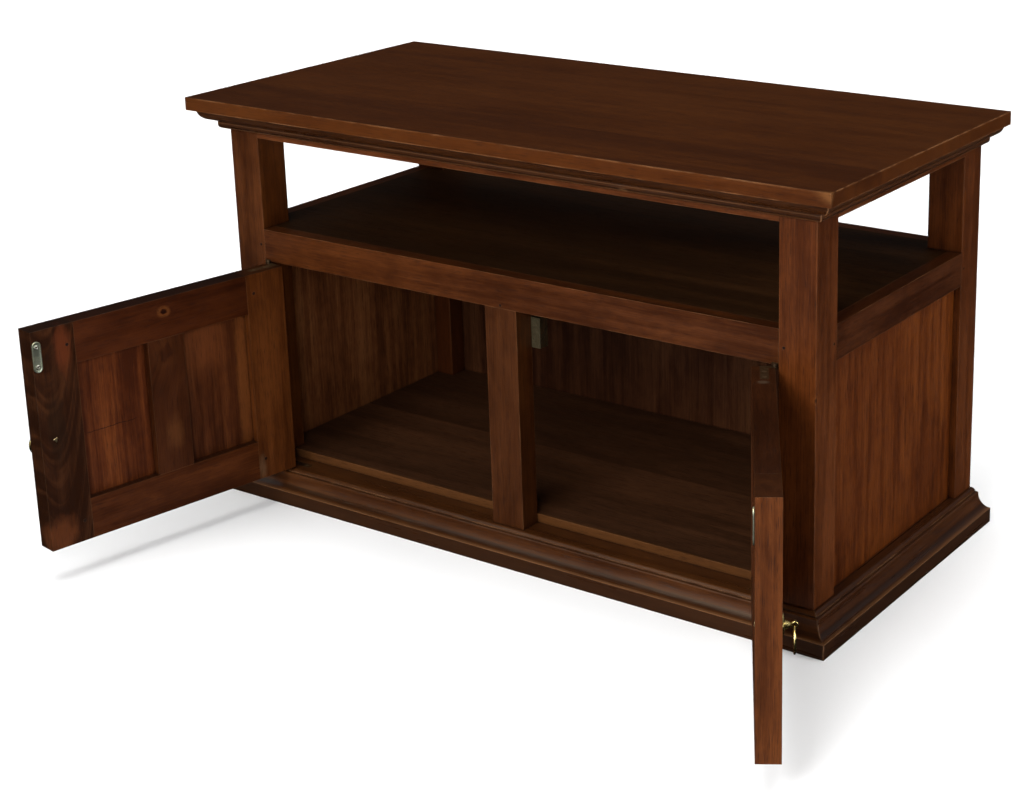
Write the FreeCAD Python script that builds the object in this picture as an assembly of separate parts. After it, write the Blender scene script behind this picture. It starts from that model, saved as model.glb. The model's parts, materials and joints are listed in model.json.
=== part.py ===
"""TV stand with two inset frame-and-panel doors, in solid wood.

Frame: +X to the right seen from the front, +Y to the back, +Z up.
The origin is on the floor, at the middle of the four posts' footprint.
The doors are modelled open, at door_open_left and door_open_right. Millimetres.
"""
import FreeCAD, Part
import math
import os

from FreeCAD import Vector

# ---- overall sizes ----
top_width = 1000.0
top_depth = 480.0
height = 575.0

# ---- top slab ----
top_thickness = 18.0
top_overhang_side = 40.0
top_overhang_front = 42.0
top_edge_round = 1.2

# ---- posts, rails and panels ----
post_size = 50.0
post_edge_round = 0.8
rail_thickness = 28.0
apron_height = 37.0
bay_height = 129.0
mid_rail_height = 45.0
shelf_thickness = 15.0
shelf_rebate = 8.0
panel_thickness = 10.0
panel_setback = 9.5
panel_tongue = 6.0
floor_thickness = 12.0
stile_width = 50.0

# ---- mortise and tenon joints ----
tenon_thickness = 9.0
tenon_length = 20.0
tenon_shoulder = 6.0
mortise_end_gap = 1.0
stub_tenon_length = 10.0
stub_tenon_shoulder = 10.0
peg_radius = 1.9
peg_length = 26.0
peg_from_joint = 7.0
stile_peg_height = 4.0

# ---- cornice under the top slab: how far it stands out, and how far down ----
cornice_height = 28.0
cornice_out = 31.0
cornice_fillet = 2.0
ovolo_drop = 13.5
cornice_neck_out = 11.5
cornice_step = 2.0
cornice_bead = 5.5

# ---- base moulding ----
base_height = 44.0
base_out = 31.0
base_lip_inside = 2.0
plinth_face = 20.0
cove_out = 18.5
base_nose = 2.0
base_fillet_out = 4.5
base_step = 1.2
base_bead_drop = 3.0
bearer_width = 50.0

# ---- doors ----
door_thickness = 28.0
door_side_gap = 2.0
door_end_gap = 2.5
door_stop_gap = 3.0
door_stile_width = 60.0
door_rail_height = 55.0
muntin_width = 54.0
door_tenon_length = 25.0
door_tenon_shoulder = 8.0
muntin_tenon_length = 14.0
door_panel_thickness = 9.0
door_panel_tongue = 7.0
door_panel_gap = 0.5
door_peg_radius = 2.2
door_peg_from_joint = 11.0
door_open_left = 100.5
door_open_right = 121.5

# ---- pivot hinges: a plate in the case, a plate in the door, a pin between ----
pivot_from_post = 4.5
leaf_thickness = 2.5
leaf_length = 42.0
leaf_width = 10.0
leaf_from_face = 8.0
knuckle_radius = 4.2
pin_radius = 1.8
pin_clearance = 0.05
collar_radius = 3.4
leaf_gap = 0.2
leaf_screw_first = 16.0
leaf_screw_pitch = 18.0

# ---- magnetic catches and their strike plates ----
strike_width = 12.0
strike_height = 41.0
strike_thickness = 2.0
strike_from_edge = 0.5
strike_from_top = 13.0
strike_screw_pitch = 26.0
catch_gap = 0.3
catch_from_stile = 1.5
catch_depth = 16.0
catch_flange_thickness = 3.0
catch_flange_reach = 20.0
catch_screw_from_side = 10.0

# ---- ring pulls ----
pull_from_edge = 20.5
rosette_radius = 13.0
rosette_rim = 1.2
rosette_height = 6.0
rosette_neck_radius = 4.0
stem_radius = 2.0
stem_collar_radius = 3.3
stem_collar_length = 2.0
eye_radius = 4.5
eye_reach = 12.5
eye_thickness = 5.2
eye_rim_round = 1.2
eye_hole_radius = 2.3
ring_radius = 15.5
ring_wire_radius = 1.6

# ---- screws ----
screw_radius = 1.5
screw_length = 12.0
screw_head_radius = 2.8
screw_head_height = 1.3
long_screw_radius = 2.2
long_screw_length = 45.0
long_screw_head_radius = 4.4
long_screw_head_height = 2.6
long_screw_in_top = 13.0
base_counterbore = 20.0
base_screw_from_front = 15.0
base_screw_from_side = 35.0
top_screw_pitch = 250.0

# ---- places that follow from the sizes ----
carcass_width = top_width - 2 * top_overhang_side
carcass_depth = top_depth - top_overhang_front
side = carcass_width / 2
front = -carcass_depth / 2
back = carcass_depth / 2
slab_under = height - top_thickness
apron_under = slab_under - apron_height
shelf_top = apron_under - bay_height
opening_top = shelf_top - mid_rail_height
post_inner = side - post_size
base_width_inside = post_size + base_lip_inside
stile_side = stile_width / 2
stile_depth = door_thickness + door_stop_gap
tenon_from_face = (rail_thickness - tenon_thickness) / 2
rail_middle = shelf_top - mid_rail_height / 2
panel_out = side - panel_setback
panel_in = panel_out - panel_thickness
back_panel_front = back - panel_setback - panel_thickness

# The left door, closed: its hinge edge is on the low side of X.
door_x0 = -post_inner + door_side_gap
door_x1 = -stile_side - door_side_gap
door_z0 = base_height + door_end_gap
door_z1 = opening_top - door_end_gap
door_inside = front + door_thickness
door_middle_x = (door_x0 + door_x1) / 2
door_middle_z = (door_z0 + door_z1) / 2
door_tenon_from_face = (door_thickness - tenon_thickness) / 2
door_panel_from_face = (door_thickness - door_panel_thickness) / 2
pivot_x = -post_inner + pivot_from_post
strike_x1 = door_x1 - strike_from_edge
strike_x0 = strike_x1 - strike_width
strike_z1 = door_z1 - strike_from_top
strike_z0 = strike_z1 - strike_height
catch_face = door_inside + strike_thickness + catch_gap
pull_x = door_x1 - pull_from_edge

UP = Vector(0, 0, 1)
DOWN = Vector(0, 0, -1)


# ---- shapes ----
def box(x0, x1, y0, y1, z0, z1):
    return Part.makeBox(x1 - x0, y1 - y0, z1 - z0, Vector(x0, y0, z0))


def fused(shapes):
    whole = shapes[0]
    for shape in shapes[1:]:
        whole = whole.fuse(shape)
    return whole.removeSplitter()


def cut_by(shape, tools):
    for tool in tools:
        shape = shape.cut(tool)
    return shape


def mirrored(shape):
    """The same piece on the other side of the stand."""
    return shape.mirror(Vector(0, 0, 0), Vector(1, 0, 0))


def mirrored_back(shape):
    """The same piece at the other end of the side, back for front."""
    return shape.mirror(Vector(0, 0, 0), Vector(0, 1, 0))


def screw(tip_way, head, shank_radius, length, head_radius, head_height):
    """A countersunk screw: head is the middle of its flat face, tip_way points into the wood."""
    shank = Part.makeCylinder(shank_radius, length, head, tip_way)
    cone = Part.makeCone(head_radius, shank_radius, head_height, head, tip_way)
    return shank.fuse(cone).removeSplitter()


def small_screw(head, tip_way):
    return screw(tip_way, head, screw_radius, screw_length, screw_head_radius, screw_head_height)


def long_screw(head):
    return screw(UP, head, long_screw_radius, long_screw_length, long_screw_head_radius,
                 long_screw_head_height)


def round_edges(shape, edges, radius):
    return shape.makeFillet(radius, edges)


def upright_edges(shape):
    return [e for e in shape.Edges if abs(e.tangentAt(e.FirstParameter).z) > 0.99]


# ---- where the carcass joints are ----
def tenon_across(height_low, height_high, y_low, end_gap=0.0):
    """The two tenons of a rail that runs left to right, between the posts."""
    reach = tenon_length + end_gap
    left = box(-post_inner - reach, -post_inner, y_low, y_low + tenon_thickness,
               height_low + tenon_shoulder, height_high - tenon_shoulder)
    return [left, mirrored(left)]


def tenon_along(height_low, height_high, end_gap=0.0):
    """The two tenons of the right-hand rail that runs front to back."""
    reach = tenon_length + end_gap
    x_high = side - tenon_from_face
    fore = box(x_high - tenon_thickness, x_high, front + post_size - reach, front + post_size,
               height_low + tenon_shoulder, height_high - tenon_shoulder)
    return [fore, mirrored_back(fore)]


def long_screw_heads():
    """The middle of each long screw's head: eight hold the top and four the base."""
    top_z = slab_under + long_screw_in_top - long_screw_length
    rail_y = front + rail_thickness / 2
    heads = []
    for row in (rail_y, -rail_y):
        for column in (-1, 0, 1):
            heads.append(Vector(column * top_screw_pitch, row, top_z))
    for way in (-1, 1):
        heads.append(Vector(way * (side - rail_thickness / 2), 0, top_z))
        heads.append(Vector(way * (side - base_screw_from_side), front + base_screw_from_front,
                            base_counterbore))
        heads.append(Vector(way * (side - post_size / 2), back - post_size / 2, base_counterbore))
    return heads


def long_screws():
    return [long_screw(head) for head in long_screw_heads()]


def counterbores():
    """The plain holes below the long screws' heads."""
    bores = []
    for head in long_screw_heads():
        depth = head.z if head.z < base_height else head.z - apron_under
        bores.append(Part.makeCylinder(long_screw_head_radius, depth, head, DOWN))
    return bores


def carcass_pegs():
    """Pegs through the mid rails' tenons, two to each post, and two at the centre stile."""
    across = []
    for way in (-1, 1):
        x = way * (post_inner + peg_from_joint)
        across.append(Part.makeCylinder(peg_radius, peg_length, Vector(x, front, rail_middle),
                                        Vector(0, 1, 0)))
    along = []
    for way in (-1, 1):
        y = way * (back - post_size + peg_from_joint)
        along.append(Part.makeCylinder(peg_radius, peg_length, Vector(side, y, rail_middle),
                                       Vector(-1, 0, 0)))
    stile = Part.makeCylinder(peg_radius, peg_length,
                              Vector(0, front, opening_top + stile_peg_height), Vector(0, 1, 0))
    pegs = across + [mirrored_back(peg) for peg in across]
    pegs += along + [mirrored(peg) for peg in along]
    return pegs + [stile]


# ---- top, cornice and base ----
def top_panel():
    slab = box(-top_width / 2, top_width / 2, front - top_overhang_front, back,
               slab_under, height)
    slab = round_edges(slab, slab.Edges, top_edge_round)
    return cut_by(slab, long_screws())


def arc(start, middle, end):
    return Part.Arc(Vector(*start), Vector(*middle), Vector(*end)).toShape()


def line(start, end):
    return Part.LineSegment(Vector(*start), Vector(*end)).toShape()


def turned(centre_out, centre_z, radius_out, radius_z, degrees):
    """A point of a moulding's round, in the plane of its section."""
    angle = math.radians(degrees)
    return (0, -centre_out - radius_out * math.cos(angle), centre_z + radius_z * math.sin(angle))


def cornice_section():
    """The cornice's outline in the YZ plane: Y is minus the distance out from the posts."""
    top = 0.0
    fillet_z = -cornice_fillet
    neck_z = fillet_z - ovolo_drop
    foot_z = -cornice_height
    ovolo_in = cornice_neck_out + cornice_step
    ovolo_out = cornice_out - ovolo_in
    bead_in = cornice_neck_out - cornice_bead
    edges = [
        line((0, 0, top), (0, -cornice_out, top)),
        line((0, -cornice_out, top), (0, -cornice_out, fillet_z)),
        arc((0, -cornice_out, fillet_z), turned(ovolo_in, fillet_z, ovolo_out, ovolo_drop, -40),
            (0, -ovolo_in, neck_z)),
        line((0, -ovolo_in, neck_z), (0, -cornice_neck_out, neck_z)),
        line((0, -cornice_neck_out, neck_z), (0, -cornice_neck_out, foot_z + cornice_bead)),
        arc((0, -cornice_neck_out, foot_z + cornice_bead),
            turned(bead_in, foot_z + cornice_bead, cornice_bead, cornice_bead, -45),
            (0, -bead_in, foot_z)),
        line((0, -bead_in, foot_z), (0, 0, foot_z)),
        line((0, 0, foot_z), (0, 0, top)),
    ]
    return Part.Wire(edges)


def base_section():
    """The base moulding's outline in the YZ plane, from the floor up to the bead at the posts."""
    cove_in = base_out - cove_out
    bead_out = cove_in - base_fillet_out
    bead_foot = base_height - base_bead_drop
    ledge_z = bead_foot - base_step
    cove_top = ledge_z - base_nose
    cove_rise = cove_top - plinth_face
    edges = [
        line((0, base_width_inside, 0), (0, -base_out, 0)),
        line((0, -base_out, 0), (0, -base_out, plinth_face)),
        arc((0, -base_out, plinth_face), turned(base_out, cove_top, -cove_out, cove_rise, -45),
            (0, -cove_in, cove_top)),
        arc((0, -cove_in, cove_top),
            turned(cove_in - base_nose, cove_top, base_nose, base_nose, 45),
            (0, -cove_in + base_nose, ledge_z)),
        line((0, -cove_in + base_nose, ledge_z), (0, -bead_out, ledge_z)),
        line((0, -bead_out, ledge_z), (0, -bead_out, bead_foot)),
        arc((0, -bead_out, bead_foot), turned(0, bead_foot, bead_out, base_bead_drop, 45),
            (0, 0, base_height)),
        line((0, 0, base_height), (0, base_width_inside, base_height)),
        line((0, base_width_inside, base_height), (0, base_width_inside, 0)),
    ]
    return Part.Wire(edges)


def mitre_prism(corners, low, high):
    """An upright prism on a plan outline."""
    plan = Part.makePolygon([Vector(x, y, low) for x, y in corners + corners[:1]])
    return Part.Face(plan).extrude(Vector(0, 0, high - low))


def moulding_front(section, z, out, inside, z_high):
    """A moulding along the front, mitred at both ends; inside is how far it runs under the posts."""
    section = Part.Face(section)
    section.translate(Vector(-side - out, front, z))
    bar = section.extrude(Vector(2 * (side + out), 0, 0))
    corners = [(-side + inside, front + inside), (-side - out, front - out),
               (side + out, front - out), (side - inside, front + inside)]
    return bar.common(mitre_prism(corners, 0, z_high))


def moulding_right(section, z, out, inside, z_high):
    """A moulding along the right side, mitred at the front and square at the back."""
    section = Part.Face(section)
    section.rotate(Vector(0, 0, 0), UP, 90)
    section.translate(Vector(side, front - out, z))
    bar = section.extrude(Vector(0, back - front + out, 0))
    corners = [(side - inside, front + inside), (side + out, front - out), (side + out, back),
               (side - inside, back)]
    return bar.common(mitre_prism(corners, 0, z_high))


def cornice_front():
    return moulding_front(cornice_section(), slab_under, cornice_out, 0, height)


def cornice_right():
    return moulding_right(cornice_section(), slab_under, cornice_out, 0, height)


def base_front():
    bar = moulding_front(base_section(), 0, base_out, base_width_inside, height)
    return cut_by(bar, [stile_foot_tenon(mortise_end_gap)] + case_leaves_low() + base_cuts())


def base_right():
    bar = moulding_right(base_section(), 0, base_out, base_width_inside, height)
    return cut_by(bar, base_cuts())


def base_cuts():
    """Everything that is let into the base: long screws, counterbores, hinge screws."""
    return long_screws() + counterbores() + case_leaf_screws()


def base_back():
    x = side - base_width_inside
    return box(-x, x, back - base_width_inside, back, 0, base_height)


def base_centre_bearer():
    return box(-bearer_width / 2, bearer_width / 2, front + base_width_inside,
               back - base_width_inside, 0, base_height)


# ---- posts and rails ----
def post_blank():
    """The right-hand front post before its joints are cut."""
    post = box(post_inner, side, front, front + post_size, base_height, slab_under)
    return round_edges(post, upright_edges(post), post_edge_round)


def side_panel_groove():
    return box(panel_in, panel_out, front + post_size - panel_tongue, back - post_size + panel_tongue,
               base_height, opening_top + panel_tongue)


def back_panel_groove():
    x = post_inner + panel_tongue
    return box(-x, x, back_panel_front, back_panel_front + panel_thickness, base_height,
               opening_top + panel_tongue)


def joint_cuts():
    """All mortises, grooves, pegs and screws that the posts are cut for."""
    cuts = []
    for low, high in ((apron_under, slab_under), (opening_top, shelf_top)):
        across = tenon_across(low, high, front + tenon_from_face, mortise_end_gap)
        cuts += across + [mirrored_back(tenon) for tenon in across]
        along = tenon_along(low, high, mortise_end_gap)
        cuts += along + [mirrored(tenon) for tenon in along]
    grooves = [side_panel_groove(), mirrored(side_panel_groove()), back_panel_groove()]
    return cuts + grooves + carcass_pegs() + long_screws()


def post_front_right():
    return cut_by(post_blank(), joint_cuts())


def post_back_right():
    return cut_by(mirrored_back(post_blank()), joint_cuts())


def rail_across(low, high):
    """A rail along the front, with a tenon at each end."""
    body = box(-post_inner, post_inner, front, front + rail_thickness, low, high)
    return fused([body] + tenon_across(low, high, front + tenon_from_face))


def rail_along(low, high):
    """A rail along the right side, with a tenon at each end."""
    body = box(side - rail_thickness, side, front + post_size, back - post_size, low, high)
    return fused([body] + tenon_along(low, high))


def rail_cuts():
    return carcass_pegs() + long_screws() + counterbores()


def apron_front():
    return cut_by(rail_across(apron_under, slab_under), rail_cuts())


def apron_back():
    return cut_by(mirrored_back(rail_across(apron_under, slab_under)), rail_cuts())


def apron_right():
    return cut_by(rail_along(apron_under, slab_under), rail_cuts())


def mid_rail_front():
    cuts = [shelf_blank(), stile_head_tenon(mortise_end_gap)]
    cuts += case_leaves_high() + case_leaf_screws()
    return cut_by(rail_across(opening_top, shelf_top), cuts + rail_cuts())


def mid_rail_back():
    rail = mirrored_back(rail_across(opening_top, shelf_top))
    return cut_by(rail, [shelf_blank(), back_panel_groove()] + rail_cuts())


def mid_rail_right():
    rail = rail_along(opening_top, shelf_top)
    return cut_by(rail, [shelf_blank(), side_panel_groove()] + rail_cuts())


# ---- panels, shelf, floor and centre stile ----
def shelf_blank():
    """The shelf before the posts are cut out of its corners: it lies in the rails' rebates."""
    reach = rail_thickness - shelf_rebate
    return box(-side + reach, side - reach, front + reach, back - reach,
               shelf_top - shelf_thickness, shelf_top)


def post_spaces():
    """The four corners that the posts fill, over the whole height."""
    corner = box(post_inner, side, front, front + post_size, 0, height)
    pair = [corner, mirrored(corner)]
    return pair + [mirrored_back(shape) for shape in pair]


def shelf_panel():
    return cut_by(shelf_blank(), post_spaces())


def floor_panel():
    board = box(-panel_in, panel_in, front + stile_depth, back_panel_front, base_height,
                base_height + floor_thickness)
    return cut_by(board, post_spaces())


def side_panel_right():
    return side_panel_groove()


def back_panel():
    return back_panel_groove()


def stub_tenon(z_low, z_high):
    half = stile_side - stub_tenon_shoulder
    return box(-half, half, front + tenon_from_face, front + tenon_from_face + tenon_thickness,
               z_low, z_high)


def stile_head_tenon(end_gap=0.0):
    return stub_tenon(opening_top, opening_top + stub_tenon_length + end_gap)


def stile_foot_tenon(end_gap=0.0):
    return stub_tenon(base_height - stub_tenon_length - end_gap, base_height)


def centre_stile():
    body = box(-stile_side, stile_side, front, front + stile_depth, base_height, opening_top)
    stile = fused([body, stile_head_tenon(), stile_foot_tenon()])
    return cut_by(stile, carcass_pegs() + catch_screws())


# ---- pivot hinges, left-hand pair, door closed ----
def leaf(z_low, thickness=leaf_thickness):
    """A hinge plate: a bar along the door's edge, and a neck out to the round nose at the pivot."""
    bar_y0 = front + leaf_from_face
    bar = box(pivot_x - door_side_gap, pivot_x + leaf_length, bar_y0, bar_y0 + leaf_width,
              z_low, z_low + thickness)
    neck = box(pivot_x - door_side_gap, pivot_x + knuckle_radius, front, bar_y0,
               z_low, z_low + thickness)
    nose = Part.makeCylinder(knuckle_radius, thickness, Vector(pivot_x, front, z_low))
    return fused([bar, neck, nose])


def pin_and_collar(z_plate, way):
    """The pin that stands on a case plate, with the collar that carries the door plate."""
    direction = Vector(0, 0, way)
    foot = Vector(pivot_x, front, z_plate)
    collar = Part.makeCylinder(collar_radius, door_end_gap - leaf_gap, foot, direction)
    pin = Part.makeCylinder(pin_radius, door_end_gap + leaf_thickness - leaf_gap, foot, direction)
    return [collar, pin]


def case_leaf_low():
    return fused([leaf(base_height - leaf_thickness)] + pin_and_collar(base_height, 1))


def case_leaf_high():
    return fused([leaf(opening_top)] + pin_and_collar(opening_top, -1))


def case_leaves_low():
    return [case_leaf_low(), mirrored(case_leaf_low())]


def case_leaves_high():
    return [case_leaf_high(), mirrored(case_leaf_high())]


def leaf_screw_heads(z):
    """Where the two screws of a plate enter its face at height z."""
    y = front + leaf_from_face + leaf_width / 2
    return [Vector(pivot_x + leaf_screw_first + step * leaf_screw_pitch, y, z) for step in (0, 1)]


def case_leaf_screws():
    left = [small_screw(head, DOWN) for head in leaf_screw_heads(base_height)]
    left += [small_screw(head, UP) for head in leaf_screw_heads(opening_top)]
    return left + [mirrored(shape) for shape in left]


def hinge_case_leaves():
    leaves = case_leaves_low() + case_leaves_high()
    return [cut_by(shape, case_leaf_screws()) for shape in leaves]


def pin_bore(z_low):
    return Part.makeCylinder(pin_radius + pin_clearance, leaf_thickness, Vector(pivot_x, front, z_low))


def door_leaf_blanks():
    """The space that the door's two plates fill, bores left out."""
    return [leaf(door_z0), leaf(door_z1 - leaf_thickness)]


def door_leaf_screws():
    screws = [small_screw(head, UP) for head in leaf_screw_heads(door_z0)]
    return screws + [small_screw(head, DOWN) for head in leaf_screw_heads(door_z1)]


def hinge_door_leaves():
    bores = [pin_bore(door_z0), pin_bore(door_z1 - leaf_thickness)]
    return [cut_by(shape, bores + door_leaf_screws()) for shape in door_leaf_blanks()]


# ---- magnetic catches on the back of the centre stile ----
def catch_screws():
    """Two screws to each catch, through its flange into the stile."""
    flange_back = front + stile_depth + catch_flange_thickness
    middle = (strike_z0 + strike_z1) / 2
    left = []
    for way in (-1, 1):
        head = Vector(-stile_side + catch_screw_from_side, flange_back,
                      middle + way * strike_screw_pitch / 2)
        left.append(small_screw(head, Vector(0, -1, 0)))
    return left + [mirrored(shape) for shape in left]


def magnetic_catch():
    """The left catch: a block that faces the strike plate, and a flange behind the stile."""
    block = box(strike_x0, -stile_side - catch_from_stile, catch_face, catch_face + catch_depth,
                strike_z0, strike_z1)
    flange = box(-stile_side - catch_from_stile, -stile_side + catch_flange_reach,
                 front + stile_depth, front + stile_depth + catch_flange_thickness,
                 strike_z0, strike_z1)
    return cut_by(fused([block, flange]), catch_screws())


def magnetic_catches():
    return [magnetic_catch(), mirrored(magnetic_catch())]


def case_screws():
    return case_leaf_screws() + catch_screws()


# ---- door, left-hand, closed ----
def door_panel_space(x0, x1, gap):
    """A panel between two uprights, tongues included."""
    reach = door_panel_tongue - gap
    y0 = front + door_panel_from_face
    return box(x0 - reach, x1 + reach, y0, y0 + door_panel_thickness,
               door_z0 + door_rail_height - reach, door_z1 - door_rail_height + reach)


def hinge_panel_space(gap=0.0):
    return door_panel_space(door_x0 + door_stile_width, door_middle_x - muntin_width / 2, gap)


def free_panel_space(gap=0.0):
    return door_panel_space(door_middle_x + muntin_width / 2, door_x1 - door_stile_width, gap)


def door_rail_tenons(z_low, end_gap=0.0):
    """The tenons of a door rail, in its two stiles."""
    y0 = front + door_tenon_from_face
    reach = door_tenon_length + end_gap
    inner_x0 = door_x0 + door_stile_width
    inner_x1 = door_x1 - door_stile_width
    z0 = z_low + door_tenon_shoulder
    z1 = z_low + door_rail_height - door_tenon_shoulder
    return [box(inner_x0 - reach, inner_x0, y0, y0 + tenon_thickness, z0, z1),
            box(inner_x1, inner_x1 + reach, y0, y0 + tenon_thickness, z0, z1)]


def muntin_tenons(end_gap=0.0):
    y0 = front + door_tenon_from_face
    half = muntin_width / 2 - door_tenon_shoulder
    reach = muntin_tenon_length + end_gap
    low = door_z0 + door_rail_height
    high = door_z1 - door_rail_height
    return [box(door_middle_x - half, door_middle_x + half, y0, y0 + tenon_thickness,
                low - reach, low),
            box(door_middle_x - half, door_middle_x + half, y0, y0 + tenon_thickness,
                high, high + reach)]


def door_pegs():
    """A peg through each rail tenon, right through the stile."""
    pegs = []
    for x in (door_x0 + door_stile_width - door_peg_from_joint,
              door_x1 - door_stile_width + door_peg_from_joint):
        for z in (door_z0 + door_rail_height / 2, door_z1 - door_rail_height / 2):
            pegs.append(Part.makeCylinder(door_peg_radius, door_thickness, Vector(x, front, z),
                                          Vector(0, 1, 0)))
    return pegs


def strike_screws():
    middle = (strike_z0 + strike_z1) / 2
    x = (strike_x0 + strike_x1) / 2
    y = door_inside + strike_thickness
    return [small_screw(Vector(x, y, middle + way * strike_screw_pitch / 2), Vector(0, -1, 0))
            for way in (-1, 1)]


def door_screws():
    return door_leaf_screws() + strike_screws()


def frame_cuts():
    """Everything let into the door's frame: joints, panels, plates, screws and the pull's stem."""
    cuts = door_rail_tenons(door_z0, mortise_end_gap)
    cuts += door_rail_tenons(door_z1 - door_rail_height, mortise_end_gap)
    cuts += [hinge_panel_space(), free_panel_space()]
    cuts += door_pegs() + door_leaf_blanks() + door_screws()
    return cuts + [stem()]


def door_upright(x0, x1):
    return box(x0, x1, front, door_inside, door_z0, door_z1)


def door_hinge_stile():
    return cut_by(door_upright(door_x0, door_x0 + door_stile_width), frame_cuts())


def door_free_stile():
    return cut_by(door_upright(door_x1 - door_stile_width, door_x1), frame_cuts())


def door_rail(z_low):
    body = box(door_x0 + door_stile_width, door_x1 - door_stile_width, front, door_inside,
               z_low, z_low + door_rail_height)
    rail = fused([body] + door_rail_tenons(z_low))
    cuts = [hinge_panel_space(), free_panel_space()] + muntin_tenons(mortise_end_gap)
    return cut_by(rail, cuts + door_pegs() + door_leaf_screws())


def door_bottom_rail():
    return door_rail(door_z0)


def door_top_rail():
    return door_rail(door_z1 - door_rail_height)


def door_muntin():
    body = box(door_middle_x - muntin_width / 2, door_middle_x + muntin_width / 2, front,
               door_inside, door_z0 + door_rail_height, door_z1 - door_rail_height)
    muntin = fused([body] + muntin_tenons())
    return cut_by(muntin, [hinge_panel_space(), free_panel_space()])


def strike_plate():
    radius = strike_width / 2
    x = (strike_x0 + strike_x1) / 2
    middle = box(strike_x0, strike_x1, door_inside, door_inside + strike_thickness,
                 strike_z0 + radius, strike_z1 - radius)
    ends = [Part.makeCylinder(radius, strike_thickness, Vector(x, door_inside, z), Vector(0, 1, 0))
            for z in (strike_z0 + radius, strike_z1 - radius)]
    return cut_by(fused([middle] + ends), strike_screws())


# ---- ring pull, left-hand, door closed ----
def outward(distance):
    """The point on the pull's axis at this distance out from the door's face."""
    return Vector(pull_x, front - distance, door_middle_z)


def stem():
    """The eye's shank: from the eye to the door's inside face."""
    return Part.makeCylinder(stem_radius, eye_reach + door_thickness, outward(-door_thickness),
                             Vector(0, -1, 0))


def pull_rosette():
    points = [(0, 0), (rosette_radius, 0), (rosette_radius, rosette_rim),
              (rosette_neck_radius + rosette_rim, rosette_height / 2),
              (rosette_neck_radius, rosette_height), (0, rosette_height)]
    outline = [Vector(pull_x + r, front - out, door_middle_z) for r, out in points]
    face = Part.Face(Part.makePolygon(outline + outline[:1]))
    return face.revolve(outward(0), Vector(0, 1, 0), 360).cut(stem())


def pull_eye():
    """The shank, its collar and the round eye that the ring hangs in."""
    half = eye_thickness / 2
    ball = Part.makeCylinder(eye_radius, eye_thickness, outward(eye_reach) - Vector(half, 0, 0),
                             Vector(1, 0, 0))
    ball = round_edges(ball, [e for e in ball.Edges if len(e.Vertexes) == 1], eye_rim_round)
    collar = Part.makeCylinder(stem_collar_radius, stem_collar_length, outward(rosette_height),
                               Vector(0, -1, 0))
    hole = Part.makeCylinder(eye_hole_radius, 2 * eye_radius,
                             outward(eye_reach) - Vector(eye_radius, 0, 0), Vector(1, 0, 0))
    return fused([ball, stem(), collar]).cut(hole)


def pull_ring():
    """The ring hangs in the eye, in a plane parallel to the door."""
    centre = outward(eye_reach) - Vector(0, 0, ring_radius)
    return Part.makeTorus(ring_radius, ring_wire_radius, centre, Vector(0, 1, 0))


# ---- the doors' places: opened from closed about their pivots ----
def opened_left(shape):
    shape = shape.copy()
    shape.rotate(Vector(pivot_x, front, 0), UP, -door_open_left)
    return shape


def opened_right(shape):
    shape = mirrored(shape)
    shape.rotate(Vector(-pivot_x, front, 0), UP, door_open_right)
    return shape


def as_list(made):
    return made if isinstance(made, list) else [made]


def save(name, made):
    """Writes one node; a list is a group of separate solids."""
    shapes = as_list(made)
    shape = shapes[0] if len(shapes) == 1 else Part.makeCompound(shapes)
    shape.exportStep(os.path.join("parts", name + ".step"))


SINGLE = {
    "top_panel": top_panel,
    "cornice_front": cornice_front,
    "apron_front": apron_front,
    "apron_back": apron_back,
    "mid_rail_front": mid_rail_front,
    "mid_rail_back": mid_rail_back,
    "shelf_panel": shelf_panel,
    "floor_panel": floor_panel,
    "back_panel": back_panel,
    "centre_stile": centre_stile,
    "base_front": base_front,
    "base_back": base_back,
    "base_centre_bearer": base_centre_bearer,
    "carcass_pegs": carcass_pegs,
    "carcass_screws": long_screws,
    "case_screws": case_screws,
    "hinge_case_leaves": hinge_case_leaves,
    "magnetic_catches": magnetic_catches,
}

PAIRED = {
    "post_front": post_front_right,
    "post_back": post_back_right,
    "apron": apron_right,
    "mid_rail": mid_rail_right,
    "side_panel": side_panel_right,
    "cornice": cornice_right,
    "base": base_right,
}

DOOR = {
    "door_hinge_stile": door_hinge_stile,
    "door_free_stile": door_free_stile,
    "door_top_rail": door_top_rail,
    "door_bottom_rail": door_bottom_rail,
    "door_muntin": door_muntin,
    "door_panel_hinge_side": lambda: hinge_panel_space(door_panel_gap),
    "door_panel_free_side": lambda: free_panel_space(door_panel_gap),
    "door_pegs": door_pegs,
    "door_screws": door_screws,
    "hinge_door_leaves": hinge_door_leaves,
    "strike_plate": strike_plate,
    "pull_rosette": pull_rosette,
    "pull_eye": pull_eye,
    "pull_ring": pull_ring,
}


def main():
    os.makedirs("parts", exist_ok=True)
    for name, make in SINGLE.items():
        save(name, make())
    for name, make in PAIRED.items():
        shape = make()
        save(name + "_right", shape)
        save(name + "_left", mirrored(shape))
    for name, make in DOOR.items():
        shapes = as_list(make())
        save(name + "_left", [opened_left(shape) for shape in shapes])
        save(name + "_right", [opened_right(shape) for shape in shapes])


main()
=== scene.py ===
"""TV stand with two doors: materials, metal fittings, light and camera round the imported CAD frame."""
import json
import math

import bmesh
import bpy
from mathutils import Matrix, Vector


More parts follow.
